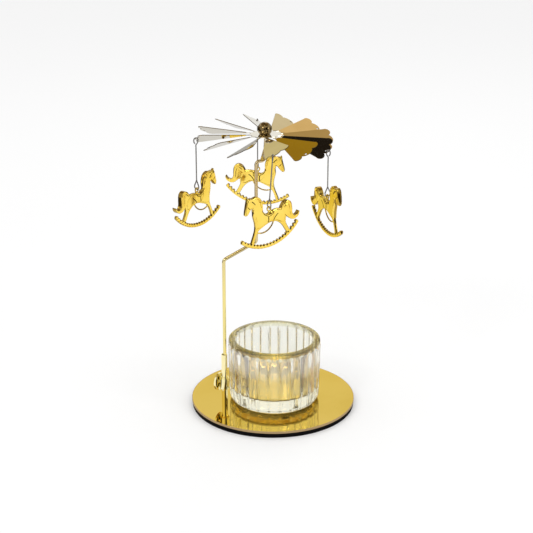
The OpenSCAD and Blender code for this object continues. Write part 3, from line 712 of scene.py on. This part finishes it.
# %% Horse: raised forms
# A name, the points of a line, its height off the middle of the form, its radius, and its radius at
# both ends
RAISED = [
    ("mane", [(12.6, 9.6), (10.2, 9.3), (7.6, 9.3), (5.9, 8), (5, 5.6), (4.9, 3), (5.4, 0.6)],
     0.85, 0.5, 0.3),
    ("scroll", [(7.2, 6.3), (6.2, 5.6), (5.4, 6.6), (6, 7.8), (7.3, 7.7)], 1.15, 0.34, 0.25),
    ("cheek", [(12.4, 8.4), (11, 6.4), (10.4, 5.2)], 1.2, 0.42, 0.3),
    ("brow", [(13.4, 9.9), (13.9, 8.6), (15, 5.6), (16, 3)], 1.15, 0.36, 0.25),
    ("eyeball", [(13, 8.4), (12.8, 8)], 1.3, 0.36, 0.3),
    ("seat", [(-1.9, -2.2), (-0.4, -2.9), (1.6, -3.2), (3.6, -2.2), (4.5, -0.6)], 1.35, 0.36, 0.25),
    ("flap", [(-1.6, -3), (-1.2, -5), (0.4, -6.4), (2.2, -6.6), (3.7, -5), (4.2, -3)], 1.4, 0.26, 0.2),
    ("tail_a", [(-8.6, -2.2), (-10.2, -0.1), (-12.2, 0.6), (-13.8, -0.8), (-14.2, -4), (-14.3, -7.4),
                (-15.8, -9.6), (-18, -9.6)], 1.3, 0.42, 0.2),
    ("tail_b", [(-8.4, -3), (-10, -1.6), (-11.8, -1), (-12.6, -3), (-12.6, -6.4), (-13.6, -9)],
     1.4, 0.4, 0.2),
    ("breast", [(10.8, 3), (10.5, -1), (10, -5), (10.6, -9)], 1.0, 0.5, 0.3),
]
raised = [both_faces(*row) for row in RAISED]
only(*raised, pattern)
bpy.ops.object.join()
tidy(pattern, DOUBLES)
VOXEL = 0.21 * MM
modify(pattern, "REMESH", mode="VOXEL", voxel_size=VOXEL)
modify(pattern, "SMOOTH", factor=0.5, iterations=7)
print("pattern faces", len(pattern.data.polygons))

# %% Horse: which faces are edges
# Slot 0 is the plain gold. A face belongs to an edge where its normal leans more than FLAT allows.
# Slot SHADE holds the painted shade of the cuts, slot EDGE the painted dark reflection on edges
SHADE, EDGE, FLAT = 1, 2, 0.55
# The stirrup arc: its centre and radius, how far a face may be off it, and how much of it is thin rod
STIRRUP, STIRRUP_R, NEAR_ARC, NEAR_MIDDLE = Vector((5.5, -4.5)) * MM, 8.2 * MM, 0.7 * MM, 0.5 * MM
ARC_LOW, ARC_HIGH, ARC_FRONT = -13.2 * MM, -9 * MM, 8 * MM
horse_metals = (horse_gold, painted_cut_shade_gold, painted_edge_dark_gold)
wear(pattern, *horse_metals)


def on_stirrup(place):
    """True on the low arc of thin rod between the legs."""
    return (abs((place.xy - STIRRUP).length - STIRRUP_R) < NEAR_ARC and abs(place.z) < NEAR_MIDDLE
            and ARC_LOW < place.y < ARC_HIGH and place.x < ARC_FRONT)


# Faces round the outline get the painted dark reflection, and the stirrup arc gets the same slot as
# painted shade
for face in pattern.data.polygons:
    if abs(face.normal.z) < FLAT or on_stirrup(face.center):
        face.material_index = EDGE
print("edge faces", sum(face.material_index == EDGE for face in pattern.data.polygons))

# %% Horse: cut straps and notches
# A name, the points of a line, the height of its middle, and its radius
CUT = [
    ("girth", [(2.1, -3.4), (2, -4.6), (2.2, -6.2), (2.7, -7.6)], 1.62, 0.34),
    ("back_line", [(5.6, 0.6), (4.6, -1.4), (3, -2.9), (1.2, -3.7), (-0.6, -3.3), (-2, -2.2)], 1.5, 0.24),
    ("strap", [(-5, -4), (-3.6, -4.8), (-2.2, -6), (-1.2, -7.3)], 1.4, 0.3),
    ("bridle", [(11.6, 8.4), (10.4, 7.2), (9.6, 5.8)], 1.5, 0.28),
    ("bit", [(14.5, 6), (14, 5), (13.2, 4.4)], 1.5, 0.24),
    ("pupil", [(13, 8.3), (12.9, 8.1)], 1.7, 0.2),
]
cutters = [both_faces(*row) for row in CUT]
# The rocker's arc in millimetres: its radius, the radius of its top and of the notches, the beads'
# pitch along the top, and half its width
ROCKER_R, ROCKER_TOP, NOTCH_R, PITCH, HALF_W = 28.0, 27.3, 26.75, 2.3, 19.7
# Its lowest point, and the arc's centre
ROCKER_LOW, BEAD_R = -22.4, 0.7
ROCKER_X, ROCKER_Y = 1.5, ROCKER_R + BEAD_R + ROCKER_LOW
turn = PITCH / ROCKER_TOP
beads = int(2 * math.asin(HALF_W / ROCKER_R) / turn)
for i in range(beads):
    angle = (i + 0.5 - beads / 2) * turn
    x, y = ROCKER_X + NOTCH_R * math.sin(angle), ROCKER_Y - NOTCH_R * math.cos(angle)
    bpy.ops.object.select_all(action="DESELECT")
    bpy.ops.mesh.primitive_cylinder_add(vertices=12, radius=0.5 * MM, depth=3 * MM,
                                        location=(x * MM, y * MM, 0))
    cutters.append(bpy.context.object)
    settle(bpy.context.object)
only(*cutters)
bpy.ops.object.join()
cutter = bpy.context.object
tidy(cutter, DOUBLES)
wear(cutter, *horse_metals)
# Every face that the cuts leave takes the painted shade
for face in cutter.data.polygons:
    face.material_index = SHADE
modify(pattern, "BOOLEAN", object=cutter, operation="DIFFERENCE", solver="MANIFOLD")
bpy.data.objects.remove(cutter)
tidy(pattern, 0.02 * MM)
smooth(pattern, 60)
print("pattern faces", len(pattern.data.polygons),
      "dark", sum(face.material_index == SHADE for face in pattern.data.polygons))

# %% Horse: four copies hung up
for side in HANGS:
    horse = copy_of(pattern, "cast_horse_" + side)
    horse.matrix_world = hang(side)
    settle(horse)
    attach(horse, "horse_" + side)
    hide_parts("horse_" + side)
bpy.data.objects.remove(pattern)
print("horses:", len(HANGS))

# %% [markdown]
# Each hook is one length of wire. Its upper end is bent to an open ring through the hole in a blade, and
# its lower end to a drop-shaped loop, turned across the horse, in which the horse's eye rocks.

# %% Hook wires
# Where the ring's middle is, the blade's angle, the wire's drop and its lean
HOOKS = {"back": ((-9.434, 39.655, 168.212), 98.3, 29.7, 0),
         "left": ((-44.655, -4.434, 168.212), 188.3, 29.7, 0),
         "front": ((-0.566, -39.653, 168.169), 278.3, 29.7, 4),
         "right": ((31.105, -15.806, 164.171), 338.3, 26.2, 0)}
RING_R, LOOP_R, WIRE_R = 1.15, 1.2, 0.35
for side, (place, blade_angle, drop, lean) in HOOKS.items():
    yaw = HANGS[side][1]
    middle = LOOP_R - drop
    # From the ring's open end round the ring, down the wire and a little way back up
    upper = [(RING_R / 2, -2 * RING_R), (RING_R * 0.95, -RING_R * 1.2), (RING_R, 0),
             (RING_R * 0.71, RING_R * 0.71), (0, RING_R), (-RING_R * 0.71, RING_R * 0.71), (-RING_R, 0),
             (-RING_R * 0.8, -RING_R * 1.4), (0, -RING_R * 2.7), (0, -RING_R * 4), (0, middle / 2),
             (0, middle + 5.2), (0, middle + 4)]
    wire = rod("wire_" + side, [(x, y, 0) for x, y in upper], WIRE_R)
    # One side of the drop-shaped loop, from below the eye up to where it closes on the wire
    half = [(1.05, -0.86), (LOOP_R + 0.4, 0.3), (1.05, 2), (0.3, 3.5)]
    ring = [(0, -LOOP_R)] + half + [(0, 4.2)] + [(-x, y) for x, y in reversed(half)]
    drop_loop = rod("loop_" + side, [(x, y, 0) for x, y in ring], WIRE_R, closed=True)
    drop_loop.matrix_world = (Matrix.Translation(Vector((0, middle, 0)) * MM)
                              @ Matrix.Rotation(math.radians(yaw + 90 - blade_angle), 4, "Y"))
    settle(drop_loop)
    only(drop_loop, wire)
    bpy.ops.object.join()
    wire.matrix_world = (Matrix.Translation(Vector(place) * MM)
                         @ Matrix.Rotation(math.radians(blade_angle), 4, "Z")
                         @ Matrix.Rotation(math.radians(90), 4, "X")
                         @ Matrix.Rotation(math.radians(-lean), 4, "X"))
    settle(wire)
    smooth(wire, 60)
    wear(wire, wire_silver)
    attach(wire, "hook_" + side)
    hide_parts("hook_wire_" + side)
print("wires:", len(HOOKS))
